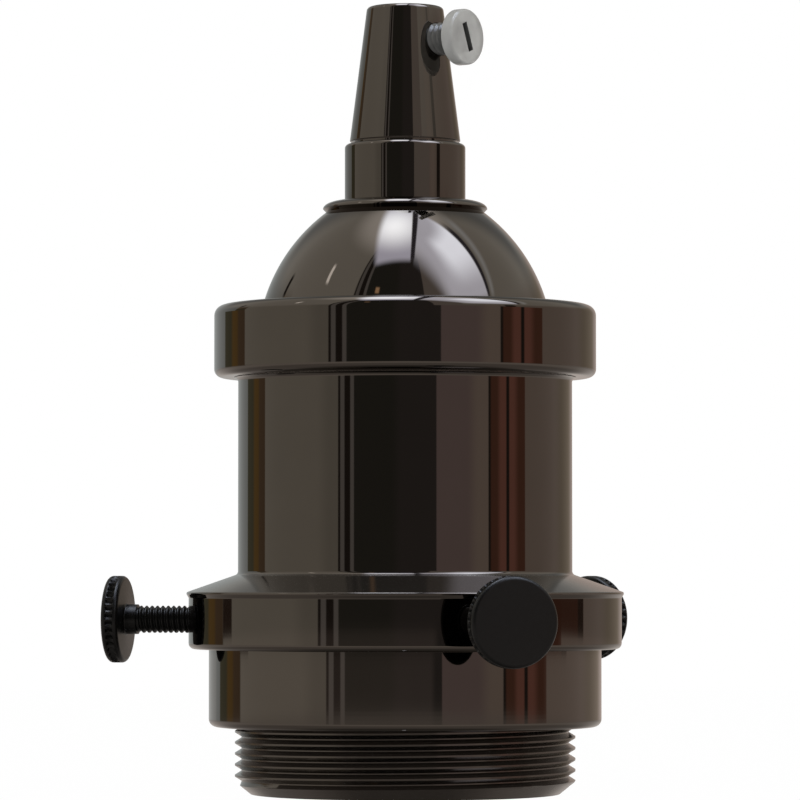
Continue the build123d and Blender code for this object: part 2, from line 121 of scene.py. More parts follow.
def count(description, default):
    """A whole number."""
    return IntProperty(description=description, default=default, min=1)


def factor(description, default):
    """A plain number."""
    return FloatProperty(description=description, default=default, precision=4)


def named(group):
    """Gives each property of a group the name of its attribute, in words."""
    for attribute, deferred in group.__annotations__.items():
        deferred.keywords["name"] = attribute.replace("_", " ").capitalize()
    return group


@named
class ShellSizes(PropertyGroup):
    """Body tube, shoulder, gallery and threaded nose"""

    nose_radius: length("Crests of the nose thread", 0.0198)
    nose_pitch: length("Pitch of the nose thread", 0.00128)
    nose_depth: length("Depth of the nose thread", 0.00076)
    nose_phase: factor("Start of the nose thread, in turns", 0.396)
    nose_top: length("Upper end of the full thread", 0.0198)
    chamfer_height: length("Cone at the nose's end", 0.00145)
    chamfer_width: length("How far the cone goes in", 0.0018)
    mouth_radius: length("Hole that the lamp enters", 0.0164)
    mouth_lip: length("Lip round the mouth", 0.0016)
    gallery_bottom: length("Lower edge of the gallery", 0.0168)
    gallery_wall: length("Wall of the gallery", 0.001)
    gallery_height: length("From its lower edge to the lip", 0.0066)
    gallery_round: length("Round of its lower edge", 0.0007)
    lip_height: length("Lip at the shoulder's foot", 0.00025)
    lip_proud: length("How far the lip stands out", 0.00025)
    flare: length("Wall's run out to the lip", 0.0004)
    shoulder_rise: length("From the lip to the body's foot", 0.0021)
    bead: length("Hollow round under the collar", 0.0005)
    body_radius: length("Outside of the tube", 0.01947)
    bore_radius: length("Inside of the tube", 0.0179)
    spigot_radius: length("Crests of the cap's thread", 0.01925)
    spigot_depth: length("Depth of the cap's thread", 0.0005)
    spigot_pitch: length("Pitch of the cap's thread", 0.001)
    spigot_relief: length("Plain groove under the thread", 0.0006)
    skirt_depth: length("Tube inside the collar", 0.0008)


@named
class CapSizes(PropertyGroup):
    """Collar, dome, pad and neck"""

    collar_height: length("Height of the collar", 0.0084)
    bottom_round: length("Lower edge of the collar", 0.00095)
    top_round: length("Upper edge of the collar", 0.0012)
    roof: length("Thickness over the tube's end", 0.0016)
    dome_radius: length("Radius of the dome's arc", 0.02023)
    dome_offset: length("Arc's centre beyond the axis", 0.00291)
    dome_sink: length("Arc's centre below the collar's top", 0.0053)
    dome_wall: length("Thickness of the dome", 0.0014)
    dome_height: length("From the collar to the pad", 0.0107)
    pad_radius: length("Flange pad on the dome", 0.0096)
    pad_height: length("Thickness of the pad", 0.0015)
    pad_slope: length("Width of the pad's rounded top", 0.002)
    pad_foot: length("Undercut below the pad's round", 0.0006)
    pad_sink: length("Dome inside the undercut", 0.0002)
    neck_radius: length("Outside of the neck", 0.00705)
    neck_round: length("Upper edge of the neck", 0.0005)
    boss_radius: length("Flat under the dome's top", 0.0091)
    stem_hole: length("Radius of the hole for the stem", 0.005)


@named
class RingSizes(PropertyGroup):
    """Shade ring"""

    bore_radius: length("Crests of the bore's thread", 0.01986)
    thread_depth: length("Depth of the bore's thread", 0.0006)
    bottom_round: length("Lower outer edge", 0.0009)
    top_chamfer: length("Upper outer edge", 0.0004)
    bore_chamfer: length("Both ends of the bore", 0.0005)


@named
class GripSizes(PropertyGroup):
    """Cord grip and its clamp screw"""

    base_radius: length("Foot of the cone", 0.00647)
    top_radius: length("Top of the cone", 0.00445)
    seam_height: length("Groove between neck and cone", 0.0003)
    seam_depth: length("How far the groove goes in", 0.00055)
    bore_radius: length("Cord bore", 0.0031)
    socket_radius: length("Hole for the stem", 0.005)
    socket_depth: length("Depth of the stem's hole", 0.0049)
    top_round: length("Upper edge of the cone", 0.0005)
    mouth_chamfer: length("Edge of the cord bore", 0.0004)
    screw_azimuth: angle("Where the clamp screw stands", 52)
    screw_drop: length("Screw axis below the cone's top", 0.0041)
    screw_radius: length("Crests of the screw's thread", 0.0019)
    screw_thread: length("Depth of the screw's thread", 0.0003)
    screw_pitch: length("Pitch of the screw's thread", 0.0007)
    screw_tip: length("Tip from the holder's axis", 0.0032)
    screw_shank: length("From the tip to the head", 0.0045)
    head_radius: length("Head of the clamp screw", 0.00325)
    head_height: length("Thickness of the head", 0.0015)
    head_round: length("Outer edge of the head", 0.00035)
    slot_width: length("Screwdriver slot", 0.00085)
    slot_reach: length("Half the slot's length", 0.0017)
    slot_turn: angle("How the slot leans", 112)
    slot_depth: length("Depth of the slot", 0.0008)
    hole_play: length("Room round a screw in its hole", 0.00006)


@named
class ThumbScrewSizes(PropertyGroup):
    """Knurled screws of the gallery"""

    height: length("Height of the axes", 0.0202)
    front_azimuth: angle("Where the front screw stands", 20)
    left_azimuth: angle("Where the left screw stands", -100)
    back_azimuth: angle("Where the back screw stands", 138.5)
    tip: length("Tips from the holder's axis", 0.0237)
    shank_radius: length("Crests of the thread", 0.0016)
    shank_length: length("From the tip to the neck", 0.0082)
    thread_depth: length("Depth of the thread", 0.00025)
    pitch: length("Pitch of the thread", 0.00065)
    tip_chamfer: length("Cone at the tip", 0.0004)
    neck_radius: length("Plain neck under the head", 0.00175)
    neck_length: length("Length of the neck", 0.0014)
    head_radius: length("Rim of the head", 0.0051)
    head_height: length("Thickness of the head", 0.002)
    knurl_teeth: count("Teeth round the head", 36)
    knurl_depth: length("Depth of the grooves", 0.00035)
    inner_rim: length("Plain edge behind the knurl", 0.00053)
    knurl_width: length("Width of the knurled band", 0.00092)
    face_bevel: length("Round of the face's edge", 0.0005)


@named
class SleeveSizes(PropertyGroup):
    """Lamp sleeve in the porcelain"""

    sheet: length("Thickness of the brass", 0.0004)
    wave: length("Depth of the rolled thread", 0.001)
    pitch: length("Pitch of the rolled thread", 0.00363)
    turns: count("Turns of the rolled thread", 5)
    hole_radius: length("Hole in the flange", 0.0085)
    rows: count("Facets along one turn", 12)


@named
class Finishes(PropertyGroup):
    """Colours of the finishes"""

    nickel: colour("Reflection colour of the plating", (0.115, 0.102, 0.09))
    nickel_roughness: factor("Polish of the plating", 0.035)
    thread_roughness: factor("Polish of the nose thread", 0.15)
    thread_metal: factor("Metal on the nose thread", 0.95)
    shoulder_roughness: factor("Polish of the shoulder", 0.13)
    shoulder_metal: factor("Metal on the shoulder", 0.84)
    paint: colour("Satin black of the thumb screws", (0.0035, 0.0034, 0.0032))
    plastic: colour("Tint of the clamp screw", (0.62, 0.62, 0.6))
    porcelain: colour("Glazed core", (0.82, 0.8, 0.75))
    brass: colour("Contacts and lamp sleeve", (0.78, 0.56, 0.26))
    zinc: colour("Stem, nut and washer", (0.62, 0.62, 0.6))


@named
class StudioLook(PropertyGroup):
    """Camera, floor and light"""

    camera_place: point("Where the camera stands", (-0.0006, -0.54, 0.0252))
    camera_aim: point("What the camera looks at", (-0.0006, 0.0, 0.0458))
    lens: factor("Focal length in millimetres", 208.4)
    floor_radius: length("Radius of the pale floor", 0.5)
    floor: colour("Colour of the floor", (0.86, 0.86, 0.86))
    floor_glow: factor("Lift of the floor towards white", 0.99)
    fill: factor("Even light on matt surfaces", 0.55)
    front_flag: colour("Dark panel in front", (0.068, 0.066, 0.057))
    flag_end: colour("Right half of the dark panel", (0.09, 0.08, 0.077))
    gap: colour("Dark gap between panels", (0.05, 0.04, 0.035))
    olive_gap: colour("Dark gap at the far left", (0.14, 0.13, 0.085))
    brown_gap: colour("Brown gap at the far left", (0.2, 0.135, 0.085))
    amber_card: colour("Warm panel at the far left", (0.28, 0.17, 0.06))
    low_dark: colour("Dark things on the table", (0.07, 0.045, 0.035))
    table_edge: colour("Light added by the near table", (0.09, 0.075, 0.07))
    left_card: colour("Large panel at the left", (0.53, 0.5, 0.44))
    strip: colour("Narrow panels beside the flag", (0.35, 0.33, 0.32))
    right_card: colour("Panel at the right of the flag", (0.385, 0.3, 0.295))
    neck_card: colour("Upper part of the right panel", (0.42, 0.37, 0.34))
    warm_card: colour("Brighter end of the right panel", (0.5, 0.41, 0.36))
    dark_red: colour("Red-brown panel at the right", (0.22, 0.1, 0.068))
    light_red: colour("Lighter red-brown panel", (0.45, 0.2, 0.155))
    far_card: colour("Panel at the far right", (0.46, 0.38, 0.335))
    rear_card: colour("Panel behind at the right", (0.34, 0.28, 0.215))
    sheet: colour("Background behind the holder", (0.43, 0.45, 0.44))
    upper_wall: colour("Walls above the side panels", (0.68, 0.65, 0.59))
    rear_wall: colour("Wall above the background", (0.27, 0.27, 0.26))
    ceiling: colour("Ceiling round the softboxes", (1.5, 1.45, 1.4))
    softbox: colour("Middle of the large lamp overhead", (7.4, 8.2, 9.3))
    softbox_edge: colour("Outside of the large lamp", (2.3, 2.4, 3.1))
    window: colour("Streak in the bright panel", (5.5, 6.1, 7.3))
    window_edge: colour("Rest of the bright panel", (2.6, 2.75, 3.35))
    window_rim: colour("Faint light behind the bright panel", (1.15, 1.2, 1.25))
    slit: colour("Small slit of daylight at the left", (3.2, 3.1, 3.0))
    spot: colour("Small warm lamp in front", (1.5, 0.95, 0.55))
    bar: colour("Frame between and round the lamps", (0.12, 0.11, 0.14))
    table_sheen: colour("Middle of the table", (0.44, 0.4, 0.37))
    far_table: colour("Far part of the table", (0.56, 0.51, 0.47))
    below: colour("Near part of the table", (0.32, 0.29, 0.27))
    under: colour("Table in the holder's shadow", (0.13, 0.12, 0.11))


GROUPS = {
    "shell": ShellSizes,
    "cap": CapSizes,
    "ring": RingSizes,
    "grip": GripSizes,
    "thumb": ThumbScrewSizes,
    "sleeve": SleeveSizes,
    "finish": Finishes,
    "studio": StudioLook,
}


def sizes(group):
    """The property group of one part of the holder."""
    return getattr(bpy.context.scene, "lamp_holder_" + group)


# Sections and turned meshes


def arc(centre, radius, start, end, steps):
    """(radius, height) points along an arc between two angles in radians."""
    points = []
    for step in range(steps + 1):
        turn = start + (end - start) * step / steps
        points.append((centre[0] + radius * math.cos(turn), centre[1] + radius * math.sin(turn)))
    return points


def rounded(*corners):
    """(radius, height) points of an open outline. A corner's third number is its round."""
    points = []
    for index, corner in enumerate(corners):
        if len(corner) == 2:
            points.append(corner)
            continue
        here = Vector(corner[:2])
        back = (Vector(corners[index - 1][:2]) - here).normalized()
        ahead = (Vector(corners[index + 1][:2]) - here).normalized()
        half = back.angle(ahead) / 2
        centre = here + (back + ahead).normalized() * corner[2] / math.sin(half)
        start = here + back * corner[2] / math.tan(half)
        end = here + ahead * corner[2] / math.tan(half)
        first = math.atan2(start.y - centre.y, start.x - centre.x)
        last = math.atan2(end.y - centre.y, end.x - centre.x)
        turn = (last - first + math.pi) % (2 * math.pi) - math.pi
        points += arc(centre, corner[2], first, first + turn, ROUND_STEPS)
    return points


def tapered(low, low_radius, high, high_radius, slope=1.0):
    """Limit of a thread that runs out in a cone at each end."""

    def limit(height, radius):
        return min(radius, low_radius + slope * (height - low), high_radius + high - height)

    return limit


def bored(low, high, crest, edge):
    """Limit of a bore's thread that fades out towards each end."""

    def limit(height, radius):
        return max(crest, min(radius, edge + high - height, edge + height - low))

    return limit


def thread(low, high, root, crest, pitch, limit):
    """Rows of a V thread with narrow flats, by the share of a turn: they climb one pitch a turn.

    limit(height, radius) holds the thread inside the blank that it is cut in.
    """
    shape = [(step, crest + (root - crest) * sunk) for step, sunk in THREAD_SHAPE]
    turns = math.ceil((high - low) / pitch) + 1

    def rows(share):
        points = []
        for turn in range(-2, turns):
            for step, radius in shape:
                height = min(max(low + (turn + share + step) * pitch, low), high)
                points.append((limit(height, radius), height))
        return points

    return rows


def in_scene(name, data):
    """Object of a mesh, lamp or camera, linked to the scene."""
    thing = bpy.data.objects.new(name, data)
    bpy.context.scene.collection.objects.link(thing)
    return thing


def from_work(name, work):
    """Object of what a bmesh holds."""
    mesh = bpy.data.meshes.new(name)
    work.to_mesh(mesh)
    work.free()
    return in_scene(name, mesh)


def turned(name, section, segments, place=None):
    """Object turned about Z from section(share), a closed list of (radius, height) points."""
    vertices = []
    for step in range(segments + 1):
        share = step / segments
        turn = 2 * math.pi * share
        ring = section(share)
        vertices += [(radius * math.sin(turn), -radius * math.cos(turn), height) for radius, height in ring]
    rows = len(ring)
    faces = []
    for column in range(segments):
        for row in range(rows):
            following = (row + 1) % rows
            near, far = column * rows, (column + 1) * rows
            faces.append((near + row, far + row, far + following, near + following))
    mesh = bpy.data.meshes.new(name)
    mesh.from_pydata(vertices, [], faces)
    work = bmesh.new()
    work.from_mesh(mesh)
    bmesh.ops.remove_doubles(work, verts=work.verts, dist=WELD)
    bmesh.ops.dissolve_degenerate(work, edges=work.edges, dist=WELD)
    bmesh.ops.recalc_face_normals(work, faces=work.faces)
    work.to_mesh(mesh)
    work.free()
    if place is not None:
        mesh.transform(place)
    return in_scene(name, mesh)


def radial(azimuth, height):
    """Placement that turns a piece's own +Z outwards from the axis."""
    outwards = Matrix.Rotation(azimuth, 4, "Z") @ Matrix.Rotation(math.pi / 2, 4, "X")
    return Matrix.Translation((0, 0, height)) @ outwards


def drill(radius, near, far, place):
    """Cutter for a round hole between two distances along a placement's axis."""
    section = ((0, near), (radius, near), (radius, far), (0, far))
    return turned("drill", lambda share: section, HOLE_TURN, place)


def slot_cutter(reach, width, bottom, top, place):
    """Cutter for a screwdriver slot across a placement's axis."""
    work = bmesh.new()
    bmesh.ops.create_cube(work, size=1.0)
    size = Matrix.Diagonal((2 * reach, width, top - bottom, 1))
    middle = Matrix.Translation((0, 0, (bottom + top) / 2))
    bmesh.ops.transform(work, matrix=place @ middle @ size, verts=work.verts)
    return from_work("slot", work)


def cut(piece, *cutters):
    """Takes the cutters out of a piece and deletes them."""
    for cutter in cutters:
        modifier = piece.modifiers.new("cut", "BOOLEAN")
        modifier.operation = "DIFFERENCE"
        modifier.solver = "MANIFOLD"
        modifier.object = cutter
    bpy.context.view_layer.update()
    shaped = bpy.data.meshes.new_from_object(piece.evaluated_get(bpy.context.evaluated_depsgraph_get()))
    piece.modifiers.clear()
    plain = piece.data
    piece.data = shaped
    shaped.name = piece.name
    bpy.data.meshes.remove(plain)
    for cutter in cutters:
        bpy.data.meshes.remove(cutter.data)
    return piece


def dress(mesh, build):
    """Gives a mesh one finish in place of what it has."""
    mesh.materials.clear()
    mesh.materials.append(finish(build))


def finished(piece, build, body, node):
    """Smooths a piece, gives it its finish and puts it in the place of its CAD node."""
    mesh = piece.data
    mesh.shade_smooth()
    mesh.set_sharp_from_angle(angle=SHARP_ANGLE)
    dress(mesh, build)
    normals = piece.modifiers.new("flat walls", "WEIGHTED_NORMAL")
    normals.keep_sharp = True
    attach(piece, body)
    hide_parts(node)
    return piece


# Nodes and finishes


def wire(tree, node, inputs):
    """Sets a node's inputs, or links them where another node's output is given."""
    for place, value in inputs.items():
        socket = node.inputs[place]
        if isinstance(value, bpy.types.NodeSocket):
            tree.links.new(value, socket)
        elif socket.type == "RGBA":
            socket.default_value = (*value, 1)
        else:
            socket.default_value = value


def add_node(tree, kind, inputs, **settings):
    """Shader node with its settings and inputs."""
    node = tree.nodes.new("ShaderNode" + kind)
    for name, value in settings.items():
        setattr(node, name, value)
    wire(tree, node, inputs)
    return node


def map_range(tree, value, start, end, low=0.0, high=1.0, **settings):
    """Value that runs from low to high while another runs from start to end."""
    inputs = {"Value": value, "From Min": start, "From Max": end, "To Min": low, "To Max": high}
    return add_node(tree, "MapRange", inputs, **settings).outputs["Result"]


def blended(tree, share, under, over, how="MIX"):
    """Colour that runs from one to another as the share goes from 0 to 1."""
    inputs = {0: share, 6: under, 7: over}
    return add_node(tree, "Mix", inputs, data_type="RGBA", blend_type=how).outputs[2]


def scaled(colour_value, share):
    """A colour times a number."""
    return [channel * share for channel in colour_value]


def finish(build):
    """The material that a function describes. It is made on its first use and bears the function's name."""
    name = build.__name__.replace("_", " ")
    material = bpy.data.materials.get(name)
    if material is None:
        material = bpy.data.materials.new(name)
        material.use_nodes = True
        build(material.node_tree, material.node_tree.nodes["Principled BSDF"])
    return material


def own_space(tree):
    """Places in the object's own space."""
    return add_node(tree, "TexCoord", {}).outputs["Object"]


def add_bump(tree, shader, height, strength, distance):
    """Bump from a height."""
    bump = add_node(tree, "Bump", {"Height": height, "Strength": strength, "Distance": distance})
    wire(tree, shader, {"Normal": bump.outputs["Normal"]})


def add_grain(tree, shader, scale, tint, shades, polish=None, relief=None):
    """Noise in the object's own space that varies the colour, the polish and the height.

    The shades are shares of the tint. The polish is two roughnesses, and the relief a
    bump's strength and height.
    """
    noise = add_node(tree, "TexNoise", {"Vector": own_space(tree), "Scale": scale, "Detail": GRAIN_DETAIL})
    grain = noise.outputs["Fac"]
    dark, light = (scaled(tint, share) for share in shades)
    wire(tree, shader, {"Base Color": blended(tree, grain, dark, light)})
    if polish:
        wire(tree, shader, {"Roughness": map_range(tree, grain, 0.0, 1.0, *polish)})
    if relief:
        add_bump(tree, shader, grain, *relief)


def add_turning_marks(tree, shader):
    """Fine rings that the lathe leaves."""
    stretch = add_node(tree, "Mapping", {"Vector": own_space(tree), "Scale": MARKS_SCALE})
    marks = add_node(tree, "TexNoise", {"Vector": stretch.outputs["Vector"], "Scale": 1.0})
    add_bump(tree, shader, marks.outputs["Fac"], *MARKS_RELIEF)


def black_nickel(tree, shader):
    """Polished black nickel with faint turning marks."""
    look = sizes("finish")
    polish = scaled((0.7, 1.3), look.nickel_roughness)
    add_grain(tree, shader, NICKEL_GRAIN, look.nickel, NICKEL_SHADES, polish)
    wire(tree, shader, {"Metallic": 1.0})
    add_turning_marks(tree, shader)


def shell_black_nickel(tree, shader):
    """Black nickel of the shell: polished walls, a duller shoulder and a satin nose thread."""
    look, size = sizes("finish"), sizes("shell")
    add_grain(tree, shader, NICKEL_GRAIN, look.nickel, NICKEL_SHADES)
    lip = lip_top(size)
    borders = (size.gallery_bottom, lip, lip + size.shoulder_rise)
    wall = look.nickel_roughness
    zones = {
        "Roughness": (look.thread_roughness, wall, look.shoulder_roughness, wall),
        "Metallic": (look.thread_metal, 1.0, look.shoulder_metal, 1.0),
    }
    height = add_node(tree, "SeparateXYZ", {0: own_space(tree)}).outputs["Z"]
    for socket, values in zones.items():
        value = values[0]
        for border, above in zip(borders, values[1:]):
            value = map_range(tree, height, border - FINE_EDGE, border + FINE_EDGE / 2, value, above)
        wire(tree, shader, {socket: value})
    add_turning_marks(tree, shader)


def screw_black(tree, shader):
    """Matt black oxide of the thumb screws."""
    paint = sizes("finish").paint
    add_grain(tree, shader, 2400, paint, shades=(0.7, 1.4), polish=(0.26, 0.36), relief=(0.15, 0.00005))
    wire(tree, shader, {"Specular IOR Level": 0.26})


def clear_plastic(tree, shader):
    """Clear moulded plastic of the clamp screw."""
    tint = sizes("finish").plastic
    add_grain(tree, shader, 500, tint, shades=(0.7, 1.2), polish=(0.06, 0.2), relief=(0.4, 0.0002))
    wire(tree, shader, {"Transmission Weight": 0.35, "IOR": 1.49})


def shaded_plastic(tree, shader):
    """Darker, opaque copy of the same plastic: painted shade on the shank in the cone and in the slot."""
    tint = sizes("finish").plastic
    add_grain(tree, shader, 900, tint, shades=(0.08, 0.24), polish=(0.15, 0.3), relief=(0.2, 0.0001))


def glazed_porcelain(tree, shader):
    """White glazed porcelain."""
    glaze = sizes("finish").porcelain
    add_grain(tree, shader, 220, glaze, shades=(0.94, 1.0), polish=(0.14, 0.26), relief=(0.12, 0.0002))


def add_bare_metal(tree, shader, metal, polish):
    """Pressed or plated metal with uneven polish."""
    uneven = scaled((0.7, 1.4), polish)
    add_grain(tree, shader, 260, metal, shades=(0.82, 1.0), polish=uneven, relief=(0.1, 0.00008))
    wire(tree, shader, {"Metallic": 1.0})


def brass_sheet(tree, shader):
    """Bright brass of the contacts and of the lamp sleeve."""
    add_bare_metal(tree, shader, sizes("finish").brass, 0.22)


def zinc_plate(tree, shader):
    """Zinc on the stem, nut, washer and terminal screws."""
    add_bare_metal(tree, shader, sizes("finish").zinc, 0.3)


# Pieces


def lip_top(size):
    """Height of the gallery's lip, where the shoulder starts."""
    return size.gallery_bottom + size.gallery_height


def spigot_foot(size):
    """Height of the step below the cap's thread."""
    return COLLAR_BOTTOM + size.skirt_depth


def shoulder_height(size, radius):
    """Height of the conical shoulder's surface at a radius."""
    return lip_top(size) + size.shoulder_rise * (LIP_RADIUS - radius) / (LIP_RADIUS - size.body_radius)


def gallery_outline(size, root, spigot_root):
    """From the root of the nose thread through the gallery and up the tube to the spigot's root."""
    wall = LIP_RADIUS - size.lip_proud
    channel = wall - size.gallery_wall
    lip = lip_top(size)
    spigot = spigot_foot(size)
    return rounded(
        (root, size.nose_top + size.nose_depth),
        (root, shoulder_height(size, root) - size.gallery_wall, SOFT_EDGE),
        (channel, shoulder_height(size, channel) - size.gallery_wall, SOFT_EDGE),
        (channel, size.gallery_bottom),
        (wall, size.gallery_bottom, size.gallery_round),
        (wall, lip - size.lip_height - size.flare, size.flare / 2),
        (LIP_RADIUS, lip - size.lip_height, size.lip_height),
        (LIP_RADIUS, lip, FINE_EDGE),
        (size.body_radius, lip + size.shoulder_rise, size.bead),
        (size.body_radius, COLLAR_BOTTOM - FINE_EDGE / 4, size.bead),
        (size.body_radius + size.bead, COLLAR_BOTTOM - FINE_EDGE / 4),
        (size.body_radius, COLLAR_BOTTOM - FINE_EDGE / 4),
        (size.body_radius, spigot),
        (spigot_root, spigot),
        (spigot_root, spigot + size.spigot_relief),
    )


def make_shell(size):
    """Shell with helical threads on its nose and its spigot, and the gallery's tapped holes."""
    nose_root = size.nose_radius - size.nose_depth
    nose_end = size.nose_radius - size.chamfer_width
    slope = size.chamfer_width / size.chamfer_height
    nose_high = size.nose_top + size.nose_depth
    spigot_low = spigot_foot(size) + size.spigot_relief
    spigot_root = size.spigot_radius - size.spigot_depth
    in_nose = tapered(0, nose_end, nose_high, nose_root, slope)
    in_spigot = tapered(spigot_low, spigot_root, SHELL_TOP, spigot_root)
    nose = thread(0, nose_high, nose_root, size.nose_radius, size.nose_pitch, in_nose)
    spigot = thread(spigot_low, SHELL_TOP, spigot_root, size.spigot_radius, size.spigot_pitch, in_spigot)
    outline = gallery_outline(size, nose_root, spigot_root)
    inside = rounded(
        (spigot_root, SHELL_TOP),
        (size.bore_radius, SHELL_TOP, FINE_EDGE),
        (size.bore_radius, size.mouth_lip),
        (size.mouth_radius, size.mouth_lip, FINE_EDGE),
        (size.mouth_radius, 0.0),
    )

    def section(share):
        return nose(share + size.nose_phase) + outline + spigot(share) + inside

    shell = turned("black_nickel_shell", section, FINE_TURN)
    thumb = sizes("thumb")
    hole = thumb.shank_radius + sizes("grip").hole_play
    near, far = LIP_RADIUS - 3 * size.gallery_wall, LIP_RADIUS + size.gallery_wall
    places = [radial(azimuth, thumb.height) for azimuth in thumb_azimuths().values()]
    return cut(shell, *[drill(hole, near, far, place) for place in places])


def dome_points(size, wall, low, high):
    """Points up the dome's arc between two heights, at a depth below its surface."""
    radius = size.dome_radius - wall
    centre = (-size.dome_offset, COLLAR_BOTTOM + size.collar_height - size.dome_sink)
    first = math.asin((low - centre[1]) / radius)
    last = math.asin((high - centre[1]) / radius)
    return arc(centre, radius, first, last, ARC_STEPS)


def make_cap(size):
    """Cap with its collar, dome, flange pad and neck, and the thread in its bore."""
    shell = sizes("shell")
    collar_top = COLLAR_BOTTOM + size.collar_height
    seat = collar_top - size.roof
    pad_bottom = collar_top + size.dome_height
    pad_top = pad_bottom + size.pad_height
    play = sizes("grip").hole_play
    skirt_top = spigot_foot(shell)
    skirt = shell.body_radius + play
    crest = shell.spigot_radius + play
    dome = dome_points(size, 0, collar_top, pad_bottom + size.pad_sink)
    collar = rounded(
        (skirt, COLLAR_BOTTOM),
        (COLLAR_RADIUS, COLLAR_BOTTOM, size.bottom_round),
        (COLLAR_RADIUS, collar_top, size.top_round),
        (dome[0][0] + FINE_EDGE / 2, collar_top),
    )
    pad = []
    for run, rise in arc((0.0, 0.0), 1.0, 0.0, math.pi / 2, 2 * ROUND_STEPS):
        reach = size.pad_radius - size.pad_slope + size.pad_slope * run
        pad.append((reach, pad_bottom + size.pad_foot + (size.pad_height - size.pad_foot) * rise))
    neck = rounded(
        (size.neck_radius, pad_top),
        (size.neck_radius, NECK_TOP, size.neck_round),
        (size.stem_hole, NECK_TOP),
    )
    centre_height = collar_top - size.dome_sink
    inner = size.dome_radius - size.dome_wall
    boss = centre_height + math.sqrt(inner**2 - (size.boss_radius + size.dome_offset) ** 2)
    under = [(size.stem_hole, boss)] + dome_points(size, size.dome_wall, seat, boss)[::-1] + [(crest, seat)]
    in_bore = bored(skirt_top, seat, crest, crest)
    bore = thread(skirt_top, seat, crest + shell.spigot_depth / 2, crest, shell.spigot_pitch, in_bore)
    outside = collar + dome + pad + neck + under
    foot = [(skirt, skirt_top)]
    return turned("black_nickel_cap", lambda share: outside + bore(share)[::-1] + foot, FINE_TURN)


def make_ring(size):
    """Shade ring with its threaded bore."""
    low, high = RING_BOTTOM + size.bore_chamfer, RING_TOP - size.bore_chamfer
    edge = size.bore_radius + size.bore_chamfer
    outside = rounded(
        (edge, RING_BOTTOM),
        (RING_RADIUS, RING_BOTTOM, size.bottom_round),
        (RING_RADIUS, RING_TOP - size.top_chamfer, FINE_EDGE / 2),
        (RING_RADIUS - size.top_chamfer, RING_TOP, FINE_EDGE / 2),
        (edge, RING_TOP),
    )
    in_bore = bored(low, high, size.bore_radius, edge)
    root = size.bore_radius + size.thread_depth
    bore = thread(low, high, root, size.bore_radius, sizes("shell").nose_pitch, in_bore)
    return turned("black_nickel_shade_ring", lambda share: outside + bore(share)[::-1], FINE_TURN)


def make_grip(size):
    """Cone with the cord bore and the clamp screw's hole."""
    base = NECK_TOP + size.seam_height
    spigot = size.base_radius - size.seam_depth
    socket_top = NECK_TOP + size.socket_depth
    section = rounded(
        (size.socket_radius, NECK_TOP),
        (spigot, NECK_TOP),
        (spigot, base),
        (size.base_radius, base, FINE_EDGE / 2),
        (size.top_radius, GRIP_TOP, size.top_round),
        (size.bore_radius + size.mouth_chamfer, GRIP_TOP),
        (size.bore_radius, GRIP_TOP - size.mouth_chamfer),
        (size.bore_radius, socket_top),
        (size.socket_radius, socket_top),
    )
    grip = turned("black_nickel_cord_grip", lambda share: section, FINE_TURN // 2)
    hole = size.screw_radius + size.hole_play
    return cut(grip, drill(hole, DRILL_START, 2 * size.base_radius, clamp_place(size)))


def clamp_place(size):
    """Placement of the clamp screw."""
    return radial(size.screw_azimuth, GRIP_TOP - size.screw_drop)


def make_grip_screw(size):
    """Clear plastic screw with a round slotted head."""
    shoulder = size.screw_tip + size.screw_shank
    top = shoulder + size.head_height
    root = size.screw_radius - size.screw_thread
    in_shank = tapered(size.screw_tip, root, shoulder, root)
    shank = thread(size.screw_tip, shoulder, root, size.screw_radius, size.screw_pitch, in_shank)
    head = rounded(
        (root, shoulder),
        (size.head_radius, shoulder, size.head_round / 2),
        (size.head_radius, top, size.head_round),
        (0.0, top),
    )
    place = clamp_place(size)
    tip = [(0.0, size.screw_tip)]
    screw = turned("clear_clamp_screw", lambda share: tip + shank(share) + head, SMALL_TURN, place)
    across = place @ Matrix.Rotation(size.slot_turn, 4, "Z")
    low, high = top - size.slot_depth, top + size.slot_depth
    return cut(screw, slot_cutter(size.slot_reach, size.slot_width, low, high, across))


def shade_core(screw, size):
    """Paints shade on a clamp screw's shank and slot, by giving their faces the darker copy of its plastic.
    """
    screw.data.materials.append(finish(shaded_plastic))
    back = clamp_place(size).inverted()
    face = size.screw_tip + size.screw_shank + size.head_height
    # faces of the shank and of the slot take the painted shade
    for polygon in screw.data.polygons:
        centre = back @ polygon.center
        if centre.z < face - FINE_EDGE / 10 and centre.xy.length < size.screw_radius + size.hole_play:
            polygon.material_index = 1


def thumb_azimuths():
    """Node name and azimuth of each thumb screw."""
    size = sizes("thumb")
    return {
        "thumb_screw_front": size.front_azimuth,
        "thumb_screw_left": size.left_azimuth,
        "thumb_screw_back": size.back_azimuth,
    }


